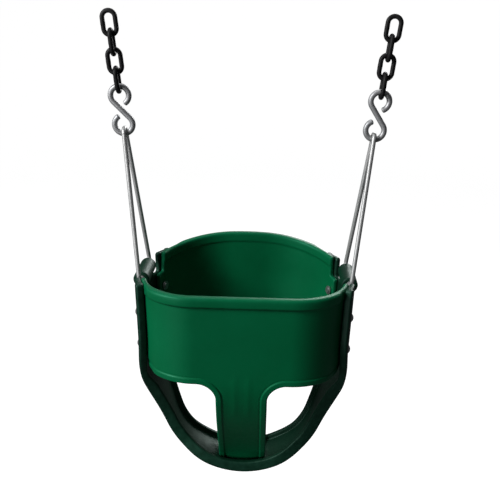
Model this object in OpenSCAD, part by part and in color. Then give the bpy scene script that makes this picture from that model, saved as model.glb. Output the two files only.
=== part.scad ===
// Toddler bucket swing: a moulded bucket seat that hangs from two steel bails, two S-hooks and two chains.
// X runs across the seat, Y towards its back and Z up. The origin is under the middle of the seat.

/* [Bucket] */
// Height of the bucket's rim above its lowest point
rim_h = 335; // [325:1:345]
// Distance from the middle to the strap's outer face at the rim
strap_half_w = 160; // [156:1:164]
// Distance from the middle to the strap's line at the front and at the back
wall_y = 136; // [132:1:140]
// Plan radius of the front corners
front_corner_r = 92; // [88:1:96]
// Plan radius of the back corners
back_corner_r = 134; // [128:1:138]
// How far the back panel's rim rises above the rest in its middle
back_crown = 19; // [16:1:24]
// Height of the panels' lower edges
panel_low_z = 200; // [195:1:205]
// Thickness of the panels
panel_t = 7; // [6:0.5:8]
// Lean of the bucket's walls from upright, in degrees
wall_lean = 2; // [1:0.5:3]

/* [Strap] */
// Thickness of the strap between its rims
strap_t = 8; // [7:0.5:9]
// Radius of the strap's round bottom
bottom_r = 124; // [120:1:126]
// Radius of the bend between the strap's sloping and upright stretches
shoulder_r = 165; // [150:5:180]
// Half of the strap's front-to-back depth at the rim
strap_top_d = 88; // [84:1:90]
// Half of the strap's front-to-back depth at the bottom
strap_low_d = 38; // [37:1:40]
// How far the strap narrows on each side, beside the leg openings
strap_waist = 7; // [4:0.5:7.5]
// Width of the strap's raised rims
bead_w = 9; // [8:0.5:10]
// How far the raised rims stand out of the strap
bead_out = 3; // [3:0.1:3.5]
// How far the raised rims reach inwards from the strap's outer face, below the panels
bead_in = 15; // [14:0.5:16]

/* [Posts] */
// Half of the front post's width
front_post_half = 37; // [35:1:38]
// Half of the back post's width
back_post_half = 34; // [32:1:36]
// Fillet between the front panel and its post
front_fillet = 28; // [24:1:30]
// Fillet between the back panel and its post
back_fillet = 20; // [16:1:22]

/* [Bails] */
// Diameter of the bail rod
rod_d = 6.5; // [6:0.1:7]
// Half of the bail's width at its base corners
bail_half_w = 48; // [47:0.5:50]
// Radius of the bends at the bail's base, along the rod's middle
bail_bend_r = 10; // [9:0.5:10]
// Outer diameter of the sleeve in the strap's hem
sleeve_d = 12; // [11:0.5:13]
// Outer diameter of the strap's hem
hem_d = 24; // [23:0.5:25]
// Half of the hem's length
hem_half = 34; // [33:0.5:34]
// Outward lean of the bails and chains, in degrees
chain_lean = 6.4; // [5:0.1:7]

/* [Chain] */
// Diameter of the S-hook's wire
hook_d = 8; // [7.5:0.1:8.5]
// Radius of the S-hook's loops, along the wire's middle
hook_r = 13; // [12.5:0.1:13.5]
// Distance between the centres of the S-hook's loops
hook_span = 41; // [40:0.5:43]
// Height of the S-hook's lowest wire above the hem, along the lean
hook_low_h = 212; // [200:0.5:215]
// Diameter of the coated chain wire
link_d = 6.6; // [6.2:0.1:6.8]
// Inner length of a link
link_len = 26; // [25:0.5:28]
// Inner width of a link
link_w = 11.4; // [11:0.1:12.5]

/* [Rivets] */
// Diameter of the rivets' shanks
rivet_d = 5; // [4.5:0.1:5.2]
// Diameter of the rivets' heads
rivet_head_d = 12; // [11:0.5:12.5]
// Diameter of the washers
washer_d = 14; // [13:0.5:14.5]

/* [Hidden] */
green = [0.0, 0.34, 0.2];
dark_green = [0.02, 0.26, 0.16];
steel = [0.72, 0.73, 0.74];
coat = [0.06, 0.06, 0.07];
$fn = 64;

LEFT = -1;
RIGHT = 1;
// Gap between two pieces that lie against each other, and between two pieces that move
lap_gap = 0.3;
move_gap = 0.3;
// The strap's outline: its arcs are measured in degrees from straight down
slope_a = 70;
wall_a = 90 - wall_lean;
strap_low_z = bead_out;
bottom_cz = strap_low_z + bottom_r;
arc_x = bottom_r * sin(slope_a) + shoulder_r * (sin(wall_a) - sin(slope_a));
arc_z = bottom_r * (1 - cos(slope_a)) + shoulder_r * (cos(slope_a) - cos(wall_a));
wall_rise = rim_h - strap_low_z - arc_z;
slope_run = strap_half_w - arc_x - wall_rise * tan(wall_lean);
slope_len = slope_run / (cos(slope_a) - sin(slope_a) * tan(wall_lean));
slope_x = bottom_r * sin(slope_a);
slope_z = strap_low_z + bottom_r * (1 - cos(slope_a));
shoulder_x = slope_x + slope_len * cos(slope_a);
shoulder_z = slope_z + slope_len * sin(slope_a);
wall_x = shoulder_x + shoulder_r * (sin(wall_a) - sin(slope_a));
wall_z = shoulder_z + shoulder_r * (cos(slope_a) - cos(wall_a));

// 0 below low, 1 above high, and a smooth rise between them
function rise(low, high, v) =
    let (t = min(1, max(0, (v - low) / (high - low))))
    t * t * (3 - 2 * t);

// Half of the outline: [x, z, angle of the outward normal from straight down]
half_outline = concat(
    [for (a = [0:7:slope_a]) [bottom_r * sin(a), bottom_cz - bottom_r * cos(a), a]],
    [for (k = [1:3])
        let (d = slope_len * k / 4)
        [slope_x + d * cos(slope_a), slope_z + d * sin(slope_a), slope_a]],
    [for (k = [0:4])
        let (a = slope_a + (wall_a - slope_a) * k / 4,
             dx = shoulder_r * (sin(a) - sin(slope_a)),
             dz = shoulder_r * (cos(slope_a) - cos(a)))
        [shoulder_x + dx, shoulder_z + dz, a]],
    [for (k = [1:4])
        let (z = wall_z + (rim_h - wall_z) * k / 4)
        [wall_x + (z - wall_z) * tan(wall_lean), z, wall_a]]);
last = len(half_outline) - 1;

// Plan of the walls: how far the corner arcs draw the strap in at a given y, and where they turn its normal
front_cy = front_corner_r - wall_y;
back_cy = wall_y - back_corner_r;
function plan_a(y) =
    y < front_cy ? asin((y - front_cy) / front_corner_r) :
    y > back_cy ? asin((y - back_cy) / back_corner_r) : 0;
function plan_inset(y) =
    (y < front_cy ? front_corner_r : back_corner_r) * (1 - cos(plan_a(y)));

// Heights between which the strap takes up the walls' plan, turns level at its rim, widens and thins its rims
plan_z = [105, 215];
level_z = [240, 300];
wide_z = [55, 262];
waist_z = [14, 50, 90, 220];
thin_z = [150, 190];

// A point of the strap: station s of the outline on one side, y across it and n out of its outer face
function strap_point(side, s, y, n) =
    let (g = rise(plan_z[0], plan_z[1], s[1]), a = plan_a(y) * g, level = rise(level_z[0], level_z[1], s[1]))
    [side * (s[0] - plan_inset(y) * g + n * sin(s[2]) * cos(a)),
     y + n * sin(s[2]) * sin(a),
     s[1] - n * cos(s[2]) * (1 - level)];

// Half depth of the strap and inner reach of its rims at height z
function strap_d(z) =
    strap_low_d + (strap_top_d - strap_low_d) * rise(wide_z[0], wide_z[1], z)
    - strap_waist * rise(waist_z[0], waist_z[1], z) * (1 - rise(waist_z[2], waist_z[3], z));
function rim_reach(z) = bead_in + (strap_t - bead_in) * rise(thin_z[0], thin_z[1], z);

// Cross-section of the strap at height z, as [y, n] points
function strap_section(z) =
    let (d = strap_d(z), b = d - bead_w, r = rim_reach(z))
    concat([[-d, 0.5], [2 - d, bead_out], [-b - 2, bead_out]],
           [for (k = [-6:6]) [k / 6 * b, 0]],
           [[b + 2, bead_out], [d - 2, bead_out], [d, 0.5], [d, 1.5 - r], [d - 1.5, -r], [b + 1.5, -r]],
           [for (k = [6:-1:-6]) [k / 6 * b, -strap_t]],
           [[-b - 1.5, -r], [1.5 - d, -r], [-d, 1.5 - r]]);

// A closed solid through equal rings of points. Its caps are one face each, or strips of triangles between
// the ring's first points and its last ones, which face each other
module skin(rings, strips) {
    count = len(rings[0]);
    points = [for (ring = rings) for (p = ring) p];
    end = count - 1;
    strip = [for (j = [0:count / 2 - 2]) each [[j, j + 1, end - 1 - j], [j, end - 1 - j, end - j]]];
    cap = strips ? strip : [[for (j = [0:end]) j]];
    sides = [for (i = [0:len(rings) - 2]) for (j = [0:count - 1])
        let (a = i * count + j, b = i * count + (j + 1) % count)
        each [[a, b, b + count], [a, b + count, a + count]]];
    first_cap = [for (t = cap) [for (j = [len(t) - 1:-1:0]) t[j]]];
    last_cap = [for (t = cap) [for (j = t) (len(rings) - 1) * count + j]];
    polyhedron(points, concat(first_cap, sides, last_cap), convexity = 10);
}

// Rings of a band that follows the strap from one side, at station top, round the bottom to the other side
function band_ring(side, s, section) = [for (p = section(s[1])) strap_point(side, s, p[0], p[1])];
function band_rings(top, section) = concat(
    [for (i = [top:-1:1]) band_ring(RIGHT, half_outline[i], section)],
    [for (i = [0:top]) band_ring(LEFT, half_outline[i], section)]);

// The wall of the front panel, or of the back panel seen from behind: its plan arcs end at end_a degrees, its
// outer rim fades out before fade_a, and its rim rises by crown towards the middle. Near its ends the lower edge
// is tucked in, clear of the strap's bend
rim_out = 3.8;
rim_in = 1.7;
rim_band = 15;
wall_n = -strap_t - lap_gap;
crown_half = 145;
tuck_z = 222;
tuck_a = [44, 62];
function wall_section(a, fade_a, top) =
    let (r = rim_out * (1 - rise(fade_a - 9, fade_a, abs(a))),
         tucked = wall_n - 3.2 * rise(tuck_a[0], tuck_a[1], abs(a)),
         low = top - rim_band)
    [[tucked - panel_t, panel_low_z], [tucked, panel_low_z], [wall_n, tuck_z], [wall_n, low - 2],
     [wall_n + r, low + 2],
     [wall_n + r, top - 2], [wall_n + r - 2, top], [wall_n - panel_t + 1, top],
     [wall_n - panel_t - rim_in, top - 2], [wall_n - panel_t - rim_in, low + 2],
     [wall_n - panel_t, low - 2], [wall_n - panel_t, tuck_z]];
function wall_ring(x, y, a, fade_a, crown) =
    let (top = rim_h + crown * max(0, 1 - pow(x / crown_half, 2)))
    [for (p = wall_section(a, fade_a, top))
        let (n = p[0] - max(0, rim_h - p[1]) * tan(wall_lean))
        [x + n * sin(a), y - n * cos(a), p[1]]];
module wall(corner_r, end_a, fade_a, crown) {
    flat = strap_half_w - corner_r;
    cy = corner_r - wall_y;
    steps = 11;
    skin(concat(
        [for (k = [steps:-1:0]) let (a = -end_a * k / steps)
            wall_ring(corner_r * sin(a) - flat, cy - corner_r * cos(a), a, fade_a, crown)],
        [for (k = [0:steps]) let (a = end_a * k / steps)
            wall_ring(corner_r * sin(a) + flat, cy - corner_r * cos(a), a, fade_a, crown)]), false);
}

// Side view of the post's outer face, as [y, z] points with their normals: the wall, then a curve to the foot
function post_y(z) = -wall_y - wall_n + (rim_h - z) * tan(wall_lean);
knot_y = post_y(panel_low_z);
knots = [[knot_y, panel_low_z], [knot_y + 4, 125], [-38, 62], [-23.5, 10]];
function bezier(t) =
    pow(1 - t, 3) * knots[0] + 3 * pow(1 - t, 2) * t * knots[1]
    + 3 * (1 - t) * t * t * knots[2] + pow(t, 3) * knots[3];
function bezier_dir(t) =
    pow(1 - t, 2) * (knots[1] - knots[0]) + 2 * (1 - t) * t * (knots[2] - knots[1])
    + t * t * (knots[3] - knots[2]);
post_steps = 20;
function inward(d) = [-d[1], d[0]] / norm(d);
function post_path(top_z, steps) = concat(
    [[[post_y(top_z), top_z], inward(knots[0] - [post_y(top_z), top_z])]],
    [for (k = [0:steps]) let (t = k / post_steps) [bezier(t), inward(bezier_dir(t))]]);

// A strip that follows the post's first steps, from depth d0 to depth d1 behind its outer face
module post_strip(half, top_z, steps, d0, d1) {
    path = post_path(top_z, steps);
    outer = [for (p = path) p[0] + d0 * p[1]];
    inner = [for (i = [len(path) - 1:-1:0]) path[i][0] + d1 * path[i][1]];
    translate([-half, 0, 0])
        rotate([90, 0, 90])
            linear_extrude(2 * half)
                polygon(concat(outer, inner));
}

// Front view of the post with the fillets at its top
module post_outline(half, fillet) {
    join_h = 5;
    translate([-half, 0])
        square([2 * half, panel_low_z + join_h]);
    difference() {
        translate([-half - fillet, panel_low_z - fillet])
            square([2 * (half + fillet), fillet + join_h]);
        for (x = [-half - fillet, half + fillet])
            translate([x, panel_low_z - fillet])
                circle(fillet);
    }
}

// The post's foot, a plate that lies on the strap; the post ends inside it
foot_r = bottom_r - strap_t - lap_gap;
foot_y = [-28, -1.5];
foot_overlap = 1;
module foot(half) {
    foot_len = foot_y[1] - foot_y[0];
    intersection() {
        translate([0, foot_y[1], bottom_cz])
            rotate([90, 0, 0])
                difference() {
                    cylinder(h = foot_len, r = foot_r);
                    translate([0, 0, -1])
                        cylinder(h = foot_len + 2, r = foot_r - panel_t);
                }
        translate([-half, foot_y[0] - 1, 0])
            cube([2 * half, foot_len + 2, bottom_r / 2]);
    }
}

// A panel with its post and foot, at the front; the post's faces lie a little under the wall's, and the steel
// insert's pocket is open under the foot
post_step = 0.15;
insert_d = [2.7, 4.2];
insert_top_z = 312;
insert_half = 20;
insert_steps = 19;
pocket_steps = 21;
module panel(corner_r, end_a, fade_a, crown, half, fillet) {
    difference() {
        union() {
            wall(corner_r, end_a, fade_a, crown);
            intersection() {
                post_strip(half + fillet, panel_low_z + 4, post_steps, post_step, panel_t - post_step);
                rotate([90, 0, 0])
                    linear_extrude(wall_y)
                        post_outline(half, fillet);
                translate([0, 0, bottom_cz])
                    rotate([90, 0, 0])
                        cylinder(h = wall_y, r = foot_r - foot_overlap);
            }
            foot(half);
        }
        post_strip(insert_half + 0.1, insert_top_z + 0.1, pocket_steps,
                   insert_d[0] - 0.05, insert_d[1] + 0.05);
        leg_notches();
    }
}

// Rivets: local +Z runs out of the strap, from its outer face
stack_t = strap_t + lap_gap + panel_t;
washer_t = 1.5;
tail_t = 1.8;
washer_gap = 1.4;
side_rivet_y = [-58, 58];
side_rivet_z = [232, 282];
low_rivet_y = [-9, 9];
low_rivet_a = [-10, 10];
module rivet() {
    head_h = 2.6;
    cap_r = (pow(rivet_head_d / 2, 2) + head_h * head_h) / (2 * head_h);
    intersection() {
        translate([0, 0, head_h - cap_r])
            sphere(cap_r);
        cylinder(h = head_h + 1, d = rivet_head_d + 1);
    }
    translate([0, 0, -stack_t - washer_gap - washer_t - 0.1])
        cylinder(h = stack_t + washer_gap + washer_t + 0.2, d = rivet_d);
    translate([0, 0, -stack_t - washer_gap - washer_t - tail_t])
        cylinder(h = tail_t, d = rivet_d + 3.5);
}
module washer() {
    translate([0, 0, -stack_t - washer_gap - washer_t + 0.05])
        difference() {
            cylinder(h = washer_t - 0.05, d = washer_d);
            translate([0, 0, -1])
                cylinder(h = washer_t + 2, d = rivet_d + 0.2);
        }
}
module rivet_hole() {
    translate([0, 0, -stack_t - 5])
        cylinder(h = stack_t + 10, d = rivet_d + 0.2);
}
module at_side_rivets(side, ys) {
    for (y = ys) for (z = side_rivet_z)
        translate([side * (strap_half_w - (rim_h - z) * tan(wall_lean) - plan_inset(y)), y, z])
            rotate([0, 0, side > 0 ? plan_a(y) : 180 - plan_a(y)])
                rotate([0, 90 + wall_lean, 0])
                    children();
}
module at_low_rivets(ys) {
    for (y = ys) for (a = low_rivet_a)
        translate([0, y, bottom_cz])
            rotate([180, a, 0])
                translate([0, 0, bottom_r])
                    children();
}
module panel_rivet_holes() {
    for (side = [LEFT, RIGHT])
        at_side_rivets(side, side_rivet_y)
            rivet_hole();
    at_low_rivets(low_rivet_y)
        rivet_hole();
}

// The bails and chains stand in a frame that starts at the hem's axis and leans outwards
hem_x = strap_half_w - 6;
hem_z = rim_h - hem_d / 2;
module leaning(side) {
    translate([side * hem_x, 0, hem_z])
        rotate([0, side * chain_lean, 0])
            children();
}
module hem() {
    for (side = [LEFT, RIGHT])
        translate([side * hem_x, hem_half, hem_z])
            rotate([90, 0, 0])
                cylinder(h = 2 * hem_half, d = hem_d);
}
// The strap ends inside the hem, and is notched on both sides of it for the bail's legs
notch_out = 57;
module hem_room() {
    room_half = (hem_half + notch_out) / 2;
    for (side = [LEFT, RIGHT])
        translate([side * hem_x - 20, -room_half, hem_z])
            cube([40, 2 * room_half, hem_d]);
}
module leg_notches() {
    notch_z = hem_z - 18;
    for (side = [LEFT, RIGHT])
        for (y0 = [-notch_out, hem_half])
            translate([side * (hem_x + 2) - 25, y0, notch_z])
                cube([50, notch_out - hem_half, 60]);
}

// The strap, its steel band and the sleeves in its hems
insert_y = 18;
function insert_section(grow) = function (z)
    [[-insert_y - grow, -3.2 + grow], [insert_y + grow, -3.2 + grow],
     [insert_y + grow, -4.8 - grow], [-insert_y - grow, -4.8 - grow]];
insert_top = last - 3;

module front_panel() {
    color(green)
        difference() {
            panel(front_corner_r, 88, 58, 0, front_post_half, front_fillet);
            panel_rivet_holes();
        }
}
module back_panel() {
    color(green)
        difference() {
            mirror([0, 1, 0])
                panel(back_corner_r, 71, 48, back_crown, back_post_half, back_fillet);
            panel_rivet_holes();
        }
}
module seat_strap() {
    color(dark_green)
        difference() {
            union() {
                difference() {
                    skin(band_rings(last, function (z) strap_section(z)), true);
                    hem_room();
                }
                hem();
            }
            skin(band_rings(insert_top, insert_section(0.05)), true);
            for (side = [LEFT, RIGHT])
                translate([side * hem_x, 100, hem_z])
                    rotate([90, 0, 0])
                        cylinder(h = 200, d = sleeve_d + 0.1);
            leg_notches();
            panel_rivet_holes();
        }
}
module front_insert() {
    color(steel)
        post_strip(insert_half, insert_top_z, insert_steps, insert_d[0], insert_d[1]);
}
module back_insert() {
    color(steel)
        mirror([0, 1, 0])
            post_strip(insert_half, insert_top_z, insert_steps, insert_d[0], insert_d[1]);
}
module strap_insert() {
    color(steel)
        difference() {
            skin(band_rings(insert_top, insert_section(0)), true);
            at_low_rivets(low_rivet_y)
                rivet_hole();
        }
}
module side_rivets(side) {
    color(steel)
        at_side_rivets(side, side_rivet_y)
            rivet();
}
module side_washers(side) {
    color(steel)
        at_side_rivets(side, side_rivet_y)
            washer();
}
module bottom_rivets() {
    color(steel)
        at_low_rivets(low_rivet_y)
            rivet();
}
module bottom_washers() {
    color(steel)
        at_low_rivets(low_rivet_y)
            washer();
}
module sleeve(side) {
    color(steel)
        translate([side * hem_x, hem_half, hem_z])
            rotate([90, 0, 0])
                difference() {
                    cylinder(h = 2 * hem_half, d = sleeve_d);
                    translate([0, 0, -1])
                        cylinder(h = 2 * hem_half + 2, d = rod_d + 0.16);
                }
}

// A round rod of length l along +Z, which runs a little way into the bends at its ends; a bend about local Z
weld = 0.4;
swell = 0.1;
module rod(l, d) {
    translate([0, 0, -weld])
        cylinder(h = l + 2 * weld, d = d);
}
module bend(r, d, start, turn) {
    rotate([0, 0, start])
        rotate_extrude(angle = turn)
            translate([r, 0])
                circle(d = d + swell);
}

// The bail, in the plane of Y and the lean: base rod, two bends, two legs and the bend over the S-hook
apex_r = (hook_d + rod_d) / 2 + move_gap;
corner_to_apex = norm([bail_half_w, hook_low_h]);
leg_a = atan(bail_half_w / hook_low_h) - asin(apex_r / corner_to_apex);
leg_full = sqrt(pow(corner_to_apex, 2) - pow(apex_r, 2));
bend_turn = 90 + leg_a;
bend_cut = bail_bend_r * tan(bend_turn / 2);
module bail(side) {
    color(steel)
        leaning(side)
            rotate([90, 0, 90]) {
                base_half = bail_half_w - bend_cut;
                translate([-base_half, 0, 0])
                    rotate([0, 90, 0])
                        rod(2 * base_half, rod_d);
                for (m = [0, 1])
                    mirror([m, 0, 0]) {
                        translate([base_half, bail_bend_r, 0])
                            bend(bail_bend_r, rod_d, -90, bend_turn);
                        translate([bail_half_w - bend_cut * sin(leg_a), bend_cut * cos(leg_a), 0])
                            rotate([-90, 0, leg_a])
                                rod(leg_full - bend_cut, rod_d);
                    }
                translate([0, hook_low_h, 0])
                    bend(apex_r, rod_d, leg_a, 180 - 2 * leg_a);
            }
}

// The S-hook, in the plane of X and the lean: two loops joined by a straight stretch across the middle
cross_a = asin(2 * hook_r / hook_span);
hook_end_a = 68;
module s_hook(side) {
    cross_len = sqrt(pow(hook_span, 2) - pow(2 * hook_r, 2));
    color(steel)
        leaning(side)
            translate([0, 0, hook_low_h + hook_r + hook_span / 2])
                rotate([90, 0, 0]) {
                    for (turn = [0, 180])
                        rotate([0, 0, turn])
                            translate([0, hook_span / 2, 0])
                                bend(hook_r, hook_d, -hook_end_a, 180 + cross_a + hook_end_a);
                    rotate([90, 0, cross_a])
                        translate([0, 0, -cross_len / 2])
                            rod(cross_len, hook_d);
                }
}

// A chain link with its middle at height h up the lean: turned 0 it lies across the seat, 90 fore and aft
link_r = (link_w + link_d) / 2;
link_centres = link_len + link_d - 2 * link_r;
link_reach = (link_len + link_d) / 2;
module link(side, h, turned) {
    color(coat)
        leaning(side)
            translate([0, 0, h])
                rotate([90, 0, turned]) {
                    for (m = [0, 1])
                        mirror([0, m, 0])
                            translate([0, link_centres / 2, 0])
                                bend(link_r, link_d, 0, 180);
                    for (x = [-link_r, link_r])
                        translate([x, link_centres / 2, 0])
                            rotate([90, 0, 0])
                                rod(link_centres, link_d);
                }
}
hook_top_h = hook_low_h + 2 * hook_r + hook_span;
link_nest = link_d + move_gap;
link_3_h = hook_top_h - (link_d + hook_d) / 2 - move_gap + link_reach;
link_2_h = link_3_h + 2 * link_reach - link_nest;
link_1_h = link_2_h + 2 * link_reach - link_nest;
top_link_h = link_1_h + 2 * link_reach - link_nest;

front_panel();
back_panel();
seat_strap();
front_insert();
back_insert();
strap_insert();
side_rivets(LEFT);  // left_rivets
side_rivets(RIGHT);  // right_rivets
bottom_rivets();
side_washers(LEFT);  // left_washers
side_washers(RIGHT);  // right_washers
bottom_washers();
sleeve(LEFT);  // left_sleeve
sleeve(RIGHT);  // right_sleeve
bail(LEFT);  // left_bail
bail(RIGHT);  // right_bail
s_hook(LEFT);  // left_s_hook
s_hook(RIGHT);  // right_s_hook
link(LEFT, link_3_h, 90);  // left_link_3
link(RIGHT, link_3_h, 90);  // right_link_3
link(LEFT, link_2_h, 0);  // left_link_2
link(RIGHT, link_2_h, 0);  // right_link_2
link(LEFT, link_1_h, 90);  // left_link_1
link(RIGHT, link_1_h, 90);  // right_link_1
link(LEFT, top_link_h, 0);  // left_top_link
link(RIGHT, top_link_h, 0);  // right_top_link
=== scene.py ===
import math

import bpy
import numpy as np
from mathutils import Matrix, Vector, geometry


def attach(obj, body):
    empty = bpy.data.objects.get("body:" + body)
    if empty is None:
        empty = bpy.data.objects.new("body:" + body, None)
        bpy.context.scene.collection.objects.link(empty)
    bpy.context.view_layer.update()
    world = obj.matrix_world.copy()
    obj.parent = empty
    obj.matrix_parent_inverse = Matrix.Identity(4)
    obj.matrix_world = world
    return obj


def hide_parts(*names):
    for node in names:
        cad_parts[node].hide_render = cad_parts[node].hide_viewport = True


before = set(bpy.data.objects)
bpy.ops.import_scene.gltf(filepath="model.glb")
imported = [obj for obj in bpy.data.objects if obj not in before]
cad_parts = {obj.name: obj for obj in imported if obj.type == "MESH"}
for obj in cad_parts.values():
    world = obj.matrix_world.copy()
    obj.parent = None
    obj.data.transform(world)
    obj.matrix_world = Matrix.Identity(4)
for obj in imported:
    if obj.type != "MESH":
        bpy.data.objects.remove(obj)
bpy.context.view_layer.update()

MM = 0.001

# ---------------------------------------------------------------- design values, in millimetres
# The bucket: its rim, its half width and half depth, and the plan radii of its front and back corners
RIM_H = 335.0
STRAP_HALF_W = 160.0
WALL_Y = 136.0
FRONT_R, BACK_R = 92.0, 134.0
PANEL_LOW_Z = 200.0
PANEL_T = 7.0
WALL_LEAN = math.radians(2)
# The back panel's rim rises by its crown in the middle, and the rise ends this far out
BACK_CROWN, CROWN_HALF = 19, 145.0
# The strap: radii of its bottom and of the bends above, half depths at the rim and at the bottom, and waist
STRAP_T = 8.0
BOTTOM_R, SHOULDER_R = 124.0, 165.0
STRAP_TOP_D, STRAP_LOW_D, STRAP_WAIST = 88.0, 38.0, 7.0
# Heights between which the strap takes up the walls' plan, widens and thins its rims
PLAN_Z, WIDE_Z, THIN_Z = (105, 215), (55, 262), (150, 190)
# Heights between which its waist begins, and between which it ends
WAIST_LOW_Z, WAIST_HIGH_Z = (14, 50), (90, 220)
# How far the strap's rims stand out or reach inwards from its outer face, and between which widths they end
BEAD_OUT, OUTER_BEAD_W = 3.0, (6.8, 9.6)
BEAD_IN, INNER_BEAD_W = 15.0, (7.2, 9.4)
# Gaps between pieces that lie against each other, and between pieces that move
LAP_GAP = 0.3
MOVE_GAP = 0.3
# The hem at each end of the strap, with the bail's sleeve in it and a notch on both sides of it
HEM_D, HEM_HALF, NOTCH_OUT = 24.0, 34.0, 57.0
HEM_X, HEM_Z = STRAP_HALF_W - 6, RIM_H - HEM_D / 2
SLEEVE_D = 12.0
HEM_SWELL, SWELL_Z = 2.6, (298, 312)
NOTCH_Z, HEM_LOW_Z = 304.5, 315.5
# The posts, their fillets under the panels, and how far the feet end from the middle
FRONT_POST_HALF, BACK_POST_HALF = 37.0, 34.0
FRONT_FILLET, BACK_FILLET = 28.0, 20.0
FOOT_IN = 1.5
# Half lengths of the panels round their curve, below the bail notches and beside them, and the notches' depth
FRONT_WIDE, FRONT_NOTCHED = 209.3, 198.1
BACK_WIDE, BACK_NOTCHED = 192.05, 175.4
EAR_S = 31
# Angles round the corners, in degrees, between which the panels' outer rims fade out
FRONT_FADE, BACK_FADE = (49, 58), (39, 48)
# The panels' relief: the rim, the border step with its raised line, and two ribs down the post
RIM_BAND, RIM_OUT, RIM_IN, RIM_ROUND = 15, 3.8, 1.7, 0.5
BORDER_STEP, LINE_H, LINE_AT, LINE_W = 1.3, 0.45, 10.2, 0.9
RIB_H, RIB_X, RIB_W = 0.55, 10, 2.6
# How far the panels' lower edges are tucked in at their ends, and over which angles and which height
TUCK, TUCK_A, TUCK_RISE = 3.2, (44, 62), 22
# The bails and chains lean outwards by one angle; heights along it start at the hem's middle
CHAIN_LEAN = math.radians(6.4)
ROD_D = 6.5
BAIL_HALF_W, BAIL_BEND_R = 48.0, 10.0
HOOK_D, HOOK_R, HOOK_SPAN, HOOK_LOW_H = 8.0, 13.0, 41.0, 212.0
HOOK_OPEN_A = math.radians(61)
LINK_D, LINK_LEN, LINK_W = 6.6, 26.0, 11.4


def rise(low, high, v):
    """0 below low, 1 above high, and a smooth rise between them."""
    t = np.clip((np.asarray(v, float) - low) / (high - low), 0, 1)
    return t * t * (3 - 2 * t)


# ---------------------------------------------------------------- mesh helpers
def new_object(name, verts, faces, body, replaced, material, wear=None):
    """A smooth closed piece from points in millimetres, on a body and in place of the replaced nodes."""
    mesh = bpy.data.meshes.new(name)
    mesh.from_pydata((np.asarray(verts) * MM).tolist(), [], [tuple(int(i) for i in f) for f in faces])
    mesh.update()
    if wear is not None:
        layer = mesh.attributes.new("wear", "FLOAT", "POINT")
        layer.data.foreach_set("value", np.asarray(wear, np.float32))
    mesh.materials.append(material)
    mesh.shade_smooth()
    obj = bpy.data.objects.new(name, mesh)
    bpy.context.scene.collection.objects.link(obj)
    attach(obj, body)
    if replaced:
        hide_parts(*replaced)
    return obj


def rounded(corners, step=1.6):
    """A closed outline through [u, v, radius] corners, with arcs at them and points every step."""
    pts = []
    n = len(corners)
    for i in range(n):
        p0, p1, p2 = (np.array(corners[(i + k) % n][:2], float) for k in (-1, 0, 1))
        r = corners[i][2]
        if r == 0:
            pts.append(p1)
            continue
        a, b = p0 - p1, p2 - p1
        a /= np.linalg.norm(a)
        b /= np.linalg.norm(b)
        half = math.acos(np.clip(a @ b, -1, 1)) / 2
        cut = r / math.tan(half)
        centre = p1 + (a + b) / np.linalg.norm(a + b) * (r / math.sin(half))
        s, e = p1 + a * cut - centre, p1 + b * cut - centre
        a0, a1 = math.atan2(s[1], s[0]), math.atan2(e[1], e[0])
        turn = (a1 - a0 + math.pi) % (2 * math.pi) - math.pi
        k = max(3, int(abs(turn) * r / min(step, 1.2)) + 1)
        for j in range(k + 1):
            t = a0 + turn * j / k
            pts.append(centre + r * np.array([math.cos(t), math.sin(t)]))
    out = []
    for i, p in enumerate(pts):
        q = pts[(i + 1) % len(pts)]
        d = np.linalg.norm(q - p)
        if d < 1e-6:
            continue
        for j in range(max(1, int(d / step))):
            out.append(p + (q - p) * j / max(1, int(d / step)))
    return np.array(out)


def edge_distance(points, outline):
    """Distance of each point to a closed outline."""
    a, b = outline, np.roll(outline, -1, axis=0)
    ab = b - a
    size = (ab * ab).sum(1)
    best = np.full(len(points), 1e9)
    for i in range(0, len(points), 2000):
        p = points[i:i + 2000, None, :]
        t = np.clip(((p - a) * ab).sum(2) / size, 0, 1)
        best[i:i + 2000] = np.sqrt(((p - a - t[..., None] * ab) ** 2).sum(2)).min(1)
    return best


def inside(points, outline):
    """Whether each point is inside a closed outline."""
    x, y = points[:, 0], points[:, 1]
    odd = np.zeros(len(points), bool)
    for (x0, y0), (x1, y1) in zip(outline, np.roll(outline, -1, axis=0)):
        if y0 == y1:
            continue
        hit = ((y0 > y) != (y1 > y)) & (x < (x1 - x0) * (y - y0) / (y1 - y0) + x0)
        odd ^= hit
    return odd


def loft(rows, count, closed):
    """Quads round rows of count points each, and from the last row back to the first if closed."""
    last = rows if closed else rows - 1
    return [(i * count + j, i * count + (j + 1) % count, (i + 1) % rows * count + (j + 1) % count,
             (i + 1) % rows * count + j) for i in range(last) for j in range(count)]


# Distances from a plate's outline at which rings of points follow it, close together on its rounded edge
RINGS = (0.22, 0.6, 1.2, 2.0, 3.2, 5.0, 6.8, 7.7, 8.5, 9.3, 10.2,
         11.2, 12.4, 13.5, 14.5, 15.5, 16.5, 17.5, 19)
# Points closer than this are merged
CROWDED = 0.45
# Rows of points across a plate's edge, between its two faces
EDGE_ROWS = 2
# How far wear reaches in from an edge
WEAR_REACH = 2.2


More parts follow.
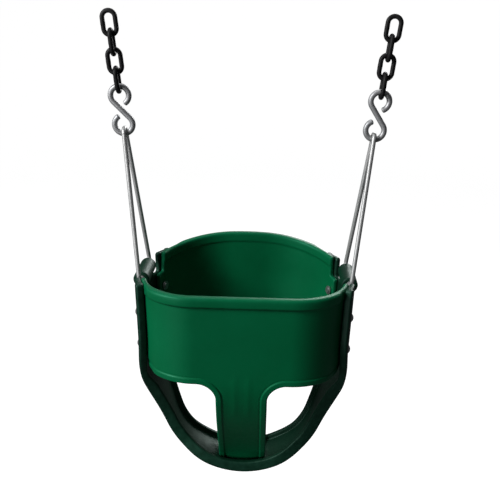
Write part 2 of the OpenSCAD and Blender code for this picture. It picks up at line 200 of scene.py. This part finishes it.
def plate(outline, surface, front, back, edge_r, out, step=3.4):
    """A moulded plate. Its outline is in (u, v), surface(u, v) gives points, out is the side of the surface
    that faces outwards, and front and back say how far its two faces lie out from the surface."""
    ahead = np.roll(outline, -1, axis=0)
    if np.sum(outline[:, 0] * ahead[:, 1] - ahead[:, 0] * outline[:, 1]) < 0:
        outline = outline[::-1]
    n = len(outline)
    tangent = np.roll(outline, -1, axis=0) - np.roll(outline, 1, axis=0)
    tangent /= np.linalg.norm(tangent, axis=1)[:, None]
    inward = np.stack([-tangent[:, 1], tangent[:, 0]], 1)
    cloud = []
    for r in RINGS:
        ring = outline + inward * r
        ok = (edge_distance(ring, outline) > r * 0.985) & inside(ring, outline)
        cloud.append(ring[ok])
    lo, hi = outline.min(0), outline.max(0)
    gu, gv = np.meshgrid(np.arange(lo[0], hi[0], step), np.arange(lo[1], hi[1], step))
    grid = np.stack([gu.ravel(), gv.ravel()], 1)
    ok = (edge_distance(grid, outline) > RINGS[-1] + step * 0.45) & inside(grid, outline)
    cloud.append(grid[ok])
    cloud = np.vstack(cloud)
    # drop points that crowd others where rings from two sides meet
    key = np.round(cloud / CROWDED).astype(int)
    _, first = np.unique(key, axis=0, return_index=True)
    cloud = cloud[np.sort(first)]
    flat = np.vstack([outline, cloud])
    res = geometry.delaunay_2d_cdt(
        [Vector(p) for p in flat], [(i, (i + 1) % n) for i in range(n)], [], 1, 1e-7)
    flat = np.array([tuple(v) for v in res[0]])
    tris = [tuple(f) for f in res[2]]
    ring_of = {}
    for i, sources in enumerate(res[3]):
        for source in sources:
            if source < n:
                ring_of[source] = i
    loop = [ring_of[i] for i in range(n)]
    d = edge_distance(flat, outline)
    d[loop] = 0
    u, v = flat[:, 0], flat[:, 1]
    near = 0.05
    place = surface(u, v)
    along_u = surface(u + near, v) - surface(u - near, v)
    along_v = surface(u, v + near) - surface(u, v - near)
    normal = np.cross(along_u, along_v)
    normal *= out / np.linalg.norm(normal, axis=1)[:, None]
    r = edge_r(u, v)
    drop = np.where(d < r, r - np.sqrt(np.maximum(r * r - (r - d) ** 2, 0)), 0)
    outer = place + normal * (front(u, v, d) - drop)[:, None]
    inner = place + normal * (back(u, v, d) + drop)[:, None]
    count = len(flat)
    verts = [outer, inner]
    edge = np.exp(-d / WEAR_REACH)
    wear = [edge, edge]
    levels = [loop]
    for k in range(1, EDGE_ROWS + 1):
        t = k / (EDGE_ROWS + 1)
        verts.append(outer[loop] * (1 - t) + inner[loop] * t)
        wear.append(np.ones(n))
        levels.append([2 * count + (k - 1) * n + j for j in range(n)])
    levels.append([i + count for i in loop])
    faces = list(tris) + [(c + count, b + count, a + count) for a, b, c in tris]
    for top, low in zip(levels, levels[1:]):
        for j in range(n):
            k = (j + 1) % n
            faces.append((top[k], top[j], low[j], low[k]))
    verts = np.vstack(verts)
    return verts, orient(verts, faces), np.concatenate(wear)


def orient(verts, faces):
    """Turns the faces round if the closed mesh is inside out."""
    tris = np.array([(f[0], f[k], f[k + 1]) for f in faces for k in range(1, len(f) - 1)])
    a, b, c = (verts[tris[:, k]] for k in range(3))
    return faces if np.sum(a * np.cross(b, c)) > 0 else [tuple(reversed(f)) for f in faces]


# ---------------------------------------------------------------- panels
def wall_in(z):
    """How far a panel's outer face lies inside the strap's line at height z."""
    return STRAP_T + LAP_GAP + (RIM_H - z) * math.tan(WALL_LEAN)


# Side view of the front of a post: a curve shaped by four knots, from the wall's lower edge to the foot
KNOT_Y = -WALL_Y + wall_in(PANEL_LOW_Z)
KNOTS = np.array([[KNOT_Y, PANEL_LOW_Z], [KNOT_Y + 4, 125], [-38, 62], [-23.5, 10]])
FLOOR_R = BOTTOM_R - STRAP_T - LAP_GAP
BOTTOM_CZ = BEAD_OUT + BOTTOM_R
FLOOR_Z = BOTTOM_CZ - FLOOR_R
# Where a panel leaves the curve for its foot, and how far the bend to the foot reaches
CURVE_END, FOOT_BEND = 0.93, 6.0


def bezier(t):
    """Points of the post's curve at each t from 0 to 1."""
    t = np.asarray(t)[:, None]
    a, b, c, d = KNOTS
    return (1 - t) ** 3 * a + 3 * (1 - t) ** 2 * t * b + 3 * (1 - t) * t * t * c + t ** 3 * d


def panel_path():
    """Side view of a panel's outer face, from the rim down the post and along the foot: distance, y and z."""
    top = np.array([[-WALL_Y + wall_in(z), z] for z in np.linspace(RIM_H, PANEL_LOW_Z, 80)[:-1]])
    curve = bezier(np.linspace(0, CURVE_END, 120))
    a = curve[-1]
    way = (curve[-1] - curve[-2]) / np.linalg.norm(curve[-1] - curve[-2])
    corner = a + way * (a[1] - FLOOR_Z) / -way[1]
    end = np.array([corner[0] + FOOT_BEND, FLOOR_Z])
    t = np.linspace(0, 1, 14)[1:, None]
    bend = (1 - t) ** 2 * a + 2 * (1 - t) * t * corner + t * t * end
    tail = np.array([[-FOOT_IN, FLOOR_Z]])
    pts = np.vstack([top, curve, bend, tail])
    s = np.concatenate([[0], np.cumsum(np.linalg.norm(np.diff(pts, axis=0), axis=1))])
    fine = np.arange(0, s[-1], 1.0)
    return fine, np.interp(fine, s, pts[:, 0]), np.interp(fine, s, pts[:, 1])


PATH_S, PATH_Y, PATH_Z = panel_path()
S_LOW = (RIM_H - PANEL_LOW_Z) / math.cos(WALL_LEAN)
S_END = PATH_S[-1]


def panel_surface(corner_r, sign, crown):
    """The outer face of a panel as a function of u, round its wall, and s, down from its rim."""
    flat = STRAP_HALF_W - corner_r
    cy = corner_r - WALL_Y

    def surface(u, s):
        y0 = np.interp(s, PATH_S, PATH_Y)
        z = np.interp(s, PATH_S, PATH_Z) - np.minimum(s, 0)
        a = np.maximum(np.abs(u) - flat, 0) / corner_r
        # the lower edge is tucked in near the ends, clear of the strap's bend
        tuck = TUCK * rise(*TUCK_A, np.degrees(a)) * rise(S_LOW - TUCK_RISE, S_LOW, s)
        r = corner_r - (y0 + WALL_Y) - tuck
        curved_x = np.sign(u) * (np.minimum(np.abs(u), flat) + r * np.sin(a))
        curved_y = cy - r * np.cos(a)
        # below the wall the post runs straight across
        w = rise(S_LOW + 4, S_LOW + 40, s)
        x = curved_x * (1 - w) + u * w
        y = curved_y * (1 - w) + y0 * w
        # the foot follows the strap's round bottom
        z = z + (FLOOR_R - np.sqrt(np.maximum(FLOOR_R ** 2 - x * x, 1))) * (1 - rise(16, 40, z))
        lift = crown * np.maximum(0, 1 - (x / CROWN_HALF) ** 2)
        return np.stack([x, y * sign, z + lift * (1 - rise(15, 80, s))], 1)

    return surface


def panel(name, node, corner_r, sign, crown, half, fillet, wide, notched, fade):
    """A wall with its post and foot. Half is the post's half width, wide and notched are the wall's half
    lengths below and beside its notches, and its outer rim fades out between the two fade angles."""
    flat = STRAP_HALF_W - corner_r
    side = [(notched, 0, 2), (notched, EAR_S, 3), (wide, EAR_S, 3), (wide, S_LOW, 6),
            (half, S_LOW, fillet), (half, S_END, 4)]
    corners = side + [(-u, s, r) for u, s, r in reversed(side)]

    def band(s):
        return 1 - rise(RIM_BAND - 1.5, RIM_BAND + 2.5, s)

    def front(u, s, d):
        a = np.degrees(np.maximum(np.abs(u) - flat, 0) / corner_r)
        rounding = RIM_ROUND * ((np.minimum(s, RIM_BAND) - 7) / 7) ** 2
        rim = band(s) * (RIM_OUT - rounding) * (1 - rise(*fade, a))
        border = BORDER_STEP * rise(8, 10, d) + LINE_H * np.exp(-((d - LINE_AT) / LINE_W) ** 2)
        along = rise(S_LOW - 18, S_LOW - 4, s) * (1 - rise(S_LOW + 45, S_LOW + 75, s))
        ribs = RIB_H * along * sum(np.exp(-((u - x) / RIB_W) ** 2) for x in (-RIB_X, RIB_X))
        return rim - border * (1 - band(s)) + ribs

    def back(u, s, d):
        return -(PANEL_T + RIM_IN * band(s))

    verts, faces, wear = plate(rounded(corners), panel_surface(corner_r, sign, crown), front, back,
                               lambda u, s: 2.2 + 2 * band(s), -sign)
    new_object(name, verts, faces, "seat", [node], shell, wear)


# ---------------------------------------------------------------- strap
# Its line seen from the front: the round bottom, a slope, a bend and the upright side
SLOPE_A = math.radians(70)
WALL_A = math.pi / 2 - WALL_LEAN
ARC_X = BOTTOM_R * math.sin(SLOPE_A) + SHOULDER_R * (math.sin(WALL_A) - math.sin(SLOPE_A))
ARC_Z = BOTTOM_R * (1 - math.cos(SLOPE_A)) + SHOULDER_R * (math.cos(SLOPE_A) - math.cos(WALL_A))
WALL_RISE = RIM_H - BEAD_OUT - ARC_Z
SLOPE_RUN = STRAP_HALF_W - ARC_X - WALL_RISE * math.tan(WALL_LEAN)
SLOPE_LEN = SLOPE_RUN / (math.cos(SLOPE_A) - math.sin(SLOPE_A) * math.tan(WALL_LEAN))


def strap_line():
    """The strap's outer face seen from the front, from the bottom to one rim: distance, x and z."""
    a = np.linspace(0, SLOPE_A, 120)
    x, z = BOTTOM_R * np.sin(a), BOTTOM_CZ - BOTTOM_R * np.cos(a)
    d = np.linspace(0, SLOPE_LEN, 30)[1:]
    x1, z1 = x[-1] + d * math.cos(SLOPE_A), z[-1] + d * math.sin(SLOPE_A)
    b = np.linspace(SLOPE_A, WALL_A, 40)[1:]
    x2 = x1[-1] + SHOULDER_R * (np.sin(b) - math.sin(SLOPE_A))
    z2 = z1[-1] + SHOULDER_R * (math.cos(SLOPE_A) - np.cos(b))
    z3 = np.linspace(z2[-1], RIM_H, 60)[1:]
    x3 = x2[-1] + (z3 - z2[-1]) * math.tan(WALL_LEAN)
    x, z = np.concatenate([x, x1, x2, x3]), np.concatenate([z, z1, z2, z3])
    return np.concatenate([[0], np.cumsum(np.hypot(np.diff(x), np.diff(z)))]), x, z


LINE_S, LINE_X, LINE_Z = strap_line()
FRONT_CY, BACK_CY = FRONT_R - WALL_Y, WALL_Y - BACK_R


def strap_d(z):
    """Half of the strap's depth at height z."""
    waist = STRAP_WAIST * rise(*WAIST_LOW_Z, z) * (1 - rise(*WAIST_HIGH_Z, z))
    return STRAP_LOW_D + (STRAP_TOP_D - STRAP_LOW_D) * rise(*WIDE_Z, z) - waist


def strap_surface(s, y):
    """The strap's outer face as a function of s, from the bottom to either side, and y."""
    far = np.abs(s)
    x, z = np.interp(far, LINE_S, LINE_X), np.interp(far, LINE_S, LINE_Z)
    front, back = np.minimum(y - FRONT_CY, 0) / FRONT_R, np.maximum(y - BACK_CY, 0) / BACK_R
    inset = FRONT_R * (1 - np.sqrt(1 - front ** 2)) + BACK_R * (1 - np.sqrt(1 - back ** 2))
    return np.stack([np.sign(s) * (x - inset * rise(*PLAN_Z, z)), y, z], 1)


def strap():
    """The strap with the hem at each of its ends."""
    def at(z):
        return float(np.interp(z, LINE_Z, LINE_S))

    def height(s):
        return np.interp(np.abs(s), LINE_S, LINE_Z)

    def swell(y, z):
        return HEM_SWELL * rise(*SWELL_Z, z) * (1 - rise(HEM_HALF - 3, HEM_HALF, np.abs(y)))

    def front(s, y, d):
        z = height(s)
        e = strap_d(z) - np.abs(y)
        return BEAD_OUT * (1 - rise(*OUTER_BEAD_W, e)) + swell(y, z)

    def back(s, y, d):
        z = height(s)
        e = strap_d(z) - np.abs(y)
        reach = (BEAD_IN - STRAP_T) * (1 - rise(*THIN_Z, z))
        return -(STRAP_T + reach * (1 - rise(*INNER_BEAD_W, e)) + swell(y, z))

    stations = np.arange(0, at(330), 4.0)
    edge = [(s, strap_d(height(s)), 0) for s in stations]
    top = [(at(RIM_H), STRAP_TOP_D, 4), (at(RIM_H), NOTCH_OUT, 3), (at(NOTCH_Z), NOTCH_OUT, 3),
           (at(NOTCH_Z), HEM_HALF, 3), (at(HEM_LOW_Z), HEM_HALF, 2)]
    quarter = edge + top
    half = quarter + [(s, -y, r) for s, y, r in reversed(quarter)]
    corners = half + [(-s, y, r) for s, y, r in reversed(half)]
    # the two halves share the stations at the bottom
    keep = [c for i, c in enumerate(corners) if c[:2] != corners[i - 1][:2]]
    verts, faces, wear = plate(rounded(keep), strap_surface, front, back, lambda s, y: 2.6 + 0 * s, -1)
    for side in (-1, 1):
        hem, hem_faces = hem_tube(side)
        faces = list(faces) + [tuple(i + len(verts) for i in f) for f in hem_faces]
        verts = np.vstack([verts, hem])
        wear = np.concatenate([wear, 0.25 * np.ones(len(hem))])
    new_object("strap_moulding", verts, faces, "seat", ["seat_strap"], strap_rubber, wear)


def hem_tube(side, count=56):
    """The hem round the sleeve: a tube along Y with rounded ends, as points and faces."""
    outer, inner, r, bore_r = HEM_D / 2, SLEEVE_D / 2 + 0.05, 2.2, 0.6
    arc = np.linspace(0, math.pi / 2, 6)
    ys = np.linspace(-HEM_HALF + r, HEM_HALF - r, 24)
    profile = [(outer - r + r * math.sin(t), -HEM_HALF + r - r * math.cos(t)) for t in arc]
    profile += [(outer, y) for y in ys[1:-1]]
    profile += [(outer - r + r * math.cos(t), HEM_HALF - r + r * math.sin(t)) for t in arc]
    profile += [(inner + bore_r * (1 - math.sin(t)), HEM_HALF - bore_r * (1 - math.cos(t))) for t in arc]
    profile += [(inner + bore_r * (1 - math.cos(t)), -HEM_HALF + bore_r * (1 - math.sin(t))) for t in arc]
    verts = np.array([(side * HEM_X + r * math.cos(a), y, HEM_Z + r * math.sin(a))
                      for r, y in profile for a in np.linspace(0, 2 * math.pi, count, endpoint=False)])
    return verts, orient(verts, loft(len(profile), count, True))


# ---------------------------------------------------------------- rods, hooks and links
def leaning(side, path, turned):
    """Points [u, h] on the lean and the normal of their plane: u runs across the seat, or fore and aft where
    they are turned."""
    up = np.array([side * math.sin(CHAIN_LEAN), 0, math.cos(CHAIN_LEAN)])
    across = np.array([math.cos(CHAIN_LEAN), 0, -side * math.sin(CHAIN_LEAN)])
    along = np.array([0.0, 1.0, 0.0])
    u, flat = (along, across) if turned else (across, along)
    base = np.array([side * HEM_X, 0, HEM_Z])
    return base + path[:, :1] * u + path[:, 1:] * up, flat


# How far the wear at a contact reaches
RUB_REACH = 6.5


def rod(path, flat, radius, closed, contacts, count=28):
    """A round rod of radius(i) along a flat path, open ends domed; flat is the normal of the path's plane."""
    n = len(path)
    if closed:
        way = np.roll(path, -1, axis=0) - np.roll(path, 1, axis=0)
    else:
        way = np.gradient(path, axis=0)
    way /= np.linalg.norm(way, axis=1)[:, None]
    sideways = np.cross(way, flat)
    centres, radii = list(path), [radius(i) for i in range(n)]
    if not closed:
        for end, sign in ((0, -1), (n - 1, 1)):
            dome = [(math.sin(t), math.cos(t)) for t in np.linspace(0, math.pi / 2, 7)[1:]]
            dome_centres = [path[end] + way[end] * sign * radii[end] * 0.5 * h for h, _ in dome]
            dome_radii = [radii[end] * max(w, 0.02) for _, w in dome]
            extra = dome_centres, dome_radii, [sideways[end]] * len(dome)
            if sign < 0:
                head = [list(reversed(e)) for e in extra]
            else:
                tail = extra
        centres = head[0] + centres + tail[0]
        radii = head[1] + radii + tail[1]
        sideways = np.array(head[2] + list(sideways) + tail[2])
    rows = len(centres)
    angles = np.linspace(0, 2 * math.pi, count, endpoint=False)
    verts = np.array([c + r * (math.cos(a) * w + math.sin(a) * flat)
                      for c, r, w in zip(centres, radii, sideways) for a in angles])
    faces = loft(rows, count, closed)
    if not closed:
        faces += [tuple(reversed(range(count))), tuple((rows - 1) * count + j for j in range(count))]
    wear = np.zeros(len(verts))
    for c in contacts:
        wear = np.maximum(wear, np.exp(-(np.linalg.norm(verts - c, axis=1) / RUB_REACH) ** 2))
    return verts, orient(verts, faces), wear


# The bail's top bend bears on the S-hook, and each link on the next one
APEX_R = (HOOK_D + ROD_D) / 2 + MOVE_GAP
CORNER_TO_APEX = math.hypot(BAIL_HALF_W, HOOK_LOW_H)
LEG_A = math.atan(BAIL_HALF_W / HOOK_LOW_H) - math.asin(APEX_R / CORNER_TO_APEX)
CROSS_A = math.asin(2 * HOOK_R / HOOK_SPAN)
LINK_R = (LINK_W + LINK_D) / 2
LINK_CENTRES = LINK_LEN + LINK_D - 2 * LINK_R
LINK_REACH = (LINK_LEN + LINK_D) / 2
LINK_PITCH = 2 * LINK_REACH - LINK_D - MOVE_GAP
HOOK_TOP_H = HOOK_LOW_H + 2 * HOOK_R + HOOK_SPAN
LINK_3_H = HOOK_TOP_H - (LINK_D + HOOK_D) / 2 - MOVE_GAP + LINK_REACH


def contact(side, h):
    """The point on the lean at height h."""
    return leaning(side, np.array([[0.0, h]]), False)[0][0]


def bail(side, word):
    """A tall triangle of rod, its base in the hem."""
    tip = HOOK_LOW_H + APEX_R / math.sin(LEG_A)
    corners = [(-BAIL_HALF_W, 0, BAIL_BEND_R), (BAIL_HALF_W, 0, BAIL_BEND_R), (0, tip, APEX_R)]
    path, flat = leaning(side, rounded(corners, 2.4), True)
    verts, faces, wear = rod(path, flat, lambda i: ROD_D / 2, True, [contact(side, HOOK_LOW_H + APEX_R)])
    new_object(word + "_bail_rod", verts, faces, "seat", [word + "_bail"], galvanised, wear)


def s_hook(side, word, body):
    """Two open loops joined by a straight stretch."""
    t = np.linspace(-HOOK_OPEN_A, math.pi + CROSS_A, 90)
    upper = np.stack([HOOK_R * np.cos(t), HOOK_SPAN / 2 + HOOK_R * np.sin(t)], 1)
    lower = -upper[::-1]
    k = np.linspace(0, 1, 12)[1:-1, None]
    path = np.vstack([upper, upper[-1] * (1 - k) + lower[0] * k, lower])
    path[:, 1] += HOOK_LOW_H + HOOK_R + HOOK_SPAN / 2
    points, flat = leaning(side, path, False)
    rubs = [contact(side, HOOK_LOW_H), contact(side, HOOK_TOP_H)]
    verts, faces, wear = rod(points, flat, lambda i: HOOK_D / 2, False, rubs)
    new_object(word + "_s_hook_wire", verts, faces, body, [word + "_s_hook"], zinc, wear)


def link(side, node, body, h, turned):
    """A welded link with its middle at height h, a little thicker at the weld."""
    t = np.linspace(0, math.pi, 30)
    top = np.stack([LINK_R * np.cos(t), LINK_CENTRES / 2 + LINK_R * np.sin(t)], 1)
    k = np.linspace(0, 1, 9)[1:-1, None]
    path = np.vstack([top, top[-1] * (1 - k) - top[0] * k, -top, -top[-1] * (1 - k) + top[0] * k])
    weld = len(top) + len(k) // 2
    path[:, 1] += h
    points, flat = leaning(side, path, turned)
    rubs = [contact(side, h - LINK_REACH), contact(side, h + LINK_REACH)]
    verts, faces, wear = rod(
        points, flat, lambda i: LINK_D / 2 * (1 + 0.05 * math.exp(-((i - weld) / 1.4) ** 2)), True, rubs)
    new_object(node + "_wire", verts, faces, body, [node], coating, wear)


# ---------------------------------------------------------------- materials
def material(name, base, varied, worn, rough, metallic, grain, bump, wear_amount,
             streak=(1, 1, 1), specular=0.5, tint=(1, 1, 1)):
    """A procedural finish: a slowly varying colour, fine grain, uneven gloss, and worn edges or contacts."""
    mat = bpy.data.materials.new(name)
    mat.use_nodes = True
    nodes, links = mat.node_tree.nodes, mat.node_tree.links
    shader = nodes["Principled BSDF"]
    shader.inputs["Metallic"].default_value = metallic
    shader.inputs["Specular IOR Level"].default_value = specular
    shader.inputs["Specular Tint"].default_value = (*tint, 1)

    def noise(scale, detail, vector):
        node = nodes.new("ShaderNodeTexNoise")
        node.inputs["Scale"].default_value = scale
        node.inputs["Detail"].default_value = detail
        links.new(vector, node.inputs["Vector"])
        return node.outputs["Fac"]

    def spread(value, low, high, to_low, to_high):
        node = nodes.new("ShaderNodeMapRange")
        for key, number in (("From Min", low), ("From Max", high), ("To Min", to_low), ("To Max", to_high)):
            node.inputs[key].default_value = number
        links.new(value, node.inputs["Value"])
        return node.outputs["Result"]

    def mix(factor, a, b):
        node = nodes.new("ShaderNodeMix")
        node.data_type = "RGBA"
        links.new(factor, node.inputs["Factor"])
        for socket, value in ((node.inputs[6], a), (node.inputs[7], b)):
            if isinstance(value, tuple):
                socket.default_value = (*value, 1)
            else:
                links.new(value, socket)
        return node.outputs[2]

    coords = nodes.new("ShaderNodeTexCoord").outputs["Object"]
    mapping = nodes.new("ShaderNodeMapping")
    mapping.inputs["Scale"].default_value = streak
    links.new(coords, mapping.inputs["Vector"])
    stretched = mapping.outputs["Vector"]
    slow = noise(14, 3, coords)
    fine = noise(grain, 4, stretched)
    scuffs = noise(120, 6, stretched)
    attribute = nodes.new("ShaderNodeAttribute")
    attribute.attribute_name = "wear"
    product = nodes.new("ShaderNodeMath")
    product.operation = "MULTIPLY"
    links.new(attribute.outputs["Fac"], product.inputs[0])
    links.new(spread(scuffs, 0.35, 0.65, 0.25 * wear_amount, wear_amount), product.inputs[1])
    worn_mask = product.outputs[0]
    colour = mix(spread(slow, 0.3, 0.7, 0, 1), base, varied)
    colour = mix(spread(fine, 0.55, 0.8, 0, 0.35), colour, worn)
    colour = mix(worn_mask, colour, worn)
    links.new(colour, shader.inputs["Base Color"])
    gloss = nodes.new("ShaderNodeMath")
    gloss.operation = "SUBTRACT"
    links.new(spread(scuffs, 0.3, 0.7, rough - 0.07, rough + 0.07), gloss.inputs[0])
    links.new(spread(worn_mask, 0, 1, 0, 0.12), gloss.inputs[1])
    links.new(gloss.outputs[0], shader.inputs["Roughness"])
    height = nodes.new("ShaderNodeMath")
    height.operation = "MULTIPLY_ADD"
    height.inputs[1].default_value = 0.6
    links.new(scuffs, height.inputs[0])
    links.new(fine, height.inputs[2])
    bumps = nodes.new("ShaderNodeBump")
    bumps.inputs["Strength"].default_value = bump
    bumps.inputs["Distance"].default_value = 0.0004
    links.new(height.outputs[0], bumps.inputs["Height"])
    links.new(bumps.outputs["Normal"], shader.inputs["Normal"])
    return mat


shell = material("green_rubber", (0.0002, 0.094, 0.032), (0.0004, 0.108, 0.038), (0.006, 0.14, 0.07),
                 rough=0.46, metallic=0, grain=1500, bump=0.16, wear_amount=0.45,
                 specular=0.28, tint=(0.25, 1, 0.7))
strap_rubber = material("dark_green_rubber",
                        (0.0006, 0.014, 0.0065), (0.0009, 0.019, 0.0085), (0.01, 0.05, 0.03),
                        rough=0.5, metallic=0, grain=1300, bump=0.24, wear_amount=0.6,
                        specular=0.3, tint=(0.6, 1, 0.85))
galvanised = material("galvanised_rod", (0.42, 0.43, 0.43), (0.50, 0.50, 0.50), (0.62, 0.62, 0.61),
                      rough=0.46, metallic=0.6, grain=900, bump=0.2, wear_amount=0.8, streak=(1, 1, 0.35))
zinc = material("zinc_plate", (0.30, 0.31, 0.32), (0.37, 0.37, 0.38), (0.5, 0.5, 0.49),
                rough=0.5, metallic=0.6, grain=1100, bump=0.16, wear_amount=0.8, streak=(1, 1, 0.5))
coating = material("black_vinyl_coat", (0.0055, 0.0055, 0.006), (0.0075, 0.0075, 0.008), (0.03, 0.03, 0.031),
                   rough=0.5, metallic=0, grain=1600, bump=0.22, wear_amount=0.7, specular=0.16)
fixing_zinc = material("zinc_fixing", (0.42, 0.42, 0.43), (0.5, 0.5, 0.5), (0.65, 0.65, 0.64),
                       rough=0.36, metallic=0.9, grain=1400, bump=0.15, wear_amount=0.6)
spring_steel = material("spring_steel", (0.30, 0.31, 0.32), (0.36, 0.36, 0.37), (0.55, 0.55, 0.55),
                        rough=0.4, metallic=0.9, grain=800, bump=0.2, wear_amount=0.6, streak=(1, 0.2, 1))

# ---------------------------------------------------------------- the pieces
panel("front_moulding", "front_panel", FRONT_R, 1, 0, FRONT_POST_HALF, FRONT_FILLET,
      FRONT_WIDE, FRONT_NOTCHED, FRONT_FADE)
panel("back_moulding", "back_panel", BACK_R, -1, BACK_CROWN, BACK_POST_HALF, BACK_FILLET,
      BACK_WIDE, BACK_NOTCHED, BACK_FADE)
strap()
for side, word in ((-1, "left"), (1, "right")):
    chain_body = word + "_chain"
    bail(side, word)
    s_hook(side, word, chain_body)
    link(side, word + "_link_3", chain_body, LINK_3_H, True)
    link(side, word + "_link_2", chain_body, LINK_3_H + LINK_PITCH, False)
    link(side, word + "_link_1", chain_body, LINK_3_H + 2 * LINK_PITCH, True)
    link(side, word + "_top_link", "hangers", LINK_3_H + 3 * LINK_PITCH, False)

# the hidden metal keeps the frame's meshes
finishes = {"insert": spring_steel, "rivets": fixing_zinc, "washers": fixing_zinc, "sleeve": fixing_zinc}
for name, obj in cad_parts.items():
    for word, finish in finishes.items():
        if name.endswith(word):
            obj.data.materials.clear()
            obj.data.materials.append(finish)

# ---------------------------------------------------------------- stage, light and camera
def backdrop():
    """A pale floor far below the hanging seat, which curves up into a wall all round."""
    floor_z, cove_at, cove_r, wall_top = -0.6, 5.0, 2.0, 6.0
    profile = [(0.0, floor_z), (3.0, floor_z), (cove_at, floor_z)]
    profile += [(cove_at + cove_r * math.sin(t), floor_z + cove_r - cove_r * math.cos(t))
                for t in np.linspace(0, math.pi / 2, 12)[1:]]
    profile += [(cove_at + cove_r, wall_top)]
    count = 72
    verts = [(r * math.cos(a), r * math.sin(a), z) for r, z in profile
             for a in np.linspace(0, 2 * math.pi, count, endpoint=False)]
    mesh = bpy.data.meshes.new("floor")
    mesh.from_pydata(verts, [], loft(len(profile), count, False))
    mesh.shade_smooth()
    mat = bpy.data.materials.new("pale_floor")
    mat.use_nodes = True
    shader = mat.node_tree.nodes["Principled BSDF"]
    shader.inputs["Base Color"].default_value = (0.2, 0.2, 0.2, 1)
    shader.inputs["Roughness"].default_value = 1
    shader.inputs["Specular IOR Level"].default_value = 0
    shader.inputs["Emission Color"].default_value = (1, 1, 1, 1)
    shader.inputs["Emission Strength"].default_value = 0.97
    mesh.materials.append(mat)
    obj = bpy.data.objects.new("floor", mesh)
    bpy.context.scene.collection.objects.link(obj)
    obj.visible_diffuse = False
    obj.visible_glossy = False
    obj.visible_shadow = False


def softbox(name, place, aim, size, power):
    """A square light of a size in metres, aimed at a point."""
    light = bpy.data.lights.new(name, "AREA")
    light.shape = "RECTANGLE"
    light.size, light.size_y = size, size
    light.energy = power
    obj = bpy.data.objects.new(name, light)
    bpy.context.scene.collection.objects.link(obj)
    obj.location = place
    obj.rotation_euler = (Vector(aim) - Vector(place)).to_track_quat("-Z", "Y").to_euler()


backdrop()
softbox("key", (-2.25, -1.3, 1.7), (0, 0, 0.25), 1.0, 98)
softbox("front", (-1.7, -1.9, 0.0), (0, 0, 0.2), 1.2, 12)
softbox("top", (-0.3, 0.3, 2.4), (0, 0, 0.3), 1.2, 15)
softbox("rear", (0.9, 2.4, 1.5), (0, 0, 0.25), 1.4, 45)
world = bpy.data.worlds.new("studio")
world.use_nodes = True
world.node_tree.nodes["Background"].inputs["Color"].default_value = (0.95, 0.97, 1, 1)
world.node_tree.nodes["Background"].inputs["Strength"].default_value = 0.07
bpy.context.scene.world = world
bpy.context.scene.view_settings.view_transform = "Standard"


def turn(a, b, angle):
    """Turns the pair of directions a and b towards each other's place by an angle."""
    return a * math.cos(angle) + b * math.sin(angle), b * math.cos(angle) - a * math.sin(angle)


def place_camera(target, azimuth, elevation, distance, pitch, yaw, roll, lens):
    """A camera that stands off from the target, then turns by pitch, yaw and roll. Angles are in degrees."""
    azimuth, elevation, pitch, yaw, roll = (math.radians(a) for a in (azimuth, elevation, pitch, yaw, roll))
    way = np.array([math.sin(azimuth) * math.cos(elevation), -math.cos(azimuth) * math.cos(elevation),
                    math.sin(elevation)])
    eye = np.array(target) + way * distance
    ahead = -way
    right = np.cross(ahead, (0, 0, 1))
    right /= np.linalg.norm(right)
    up = np.cross(right, ahead)
    ahead, up = turn(ahead, up, pitch)
    ahead, right = turn(ahead, right, -yaw)
    right, up = turn(right, up, roll)
    camera = bpy.data.objects.new("camera", bpy.data.cameras.new("camera"))
    camera.data.sensor_width = 36
    camera.data.lens = lens
    basis = Matrix([list(v) for v in zip(right, up, -ahead)]).to_4x4()
    camera.matrix_world = Matrix.Translation(eye.tolist()) @ basis
    bpy.context.scene.collection.objects.link(camera)
    bpy.context.scene.camera = camera


place_camera(target=(0, 0, 0.2), azimuth=1.7, elevation=25.6, distance=1.185,
             pitch=7.5, yaw=-0.27, roll=1.1, lens=53.9)
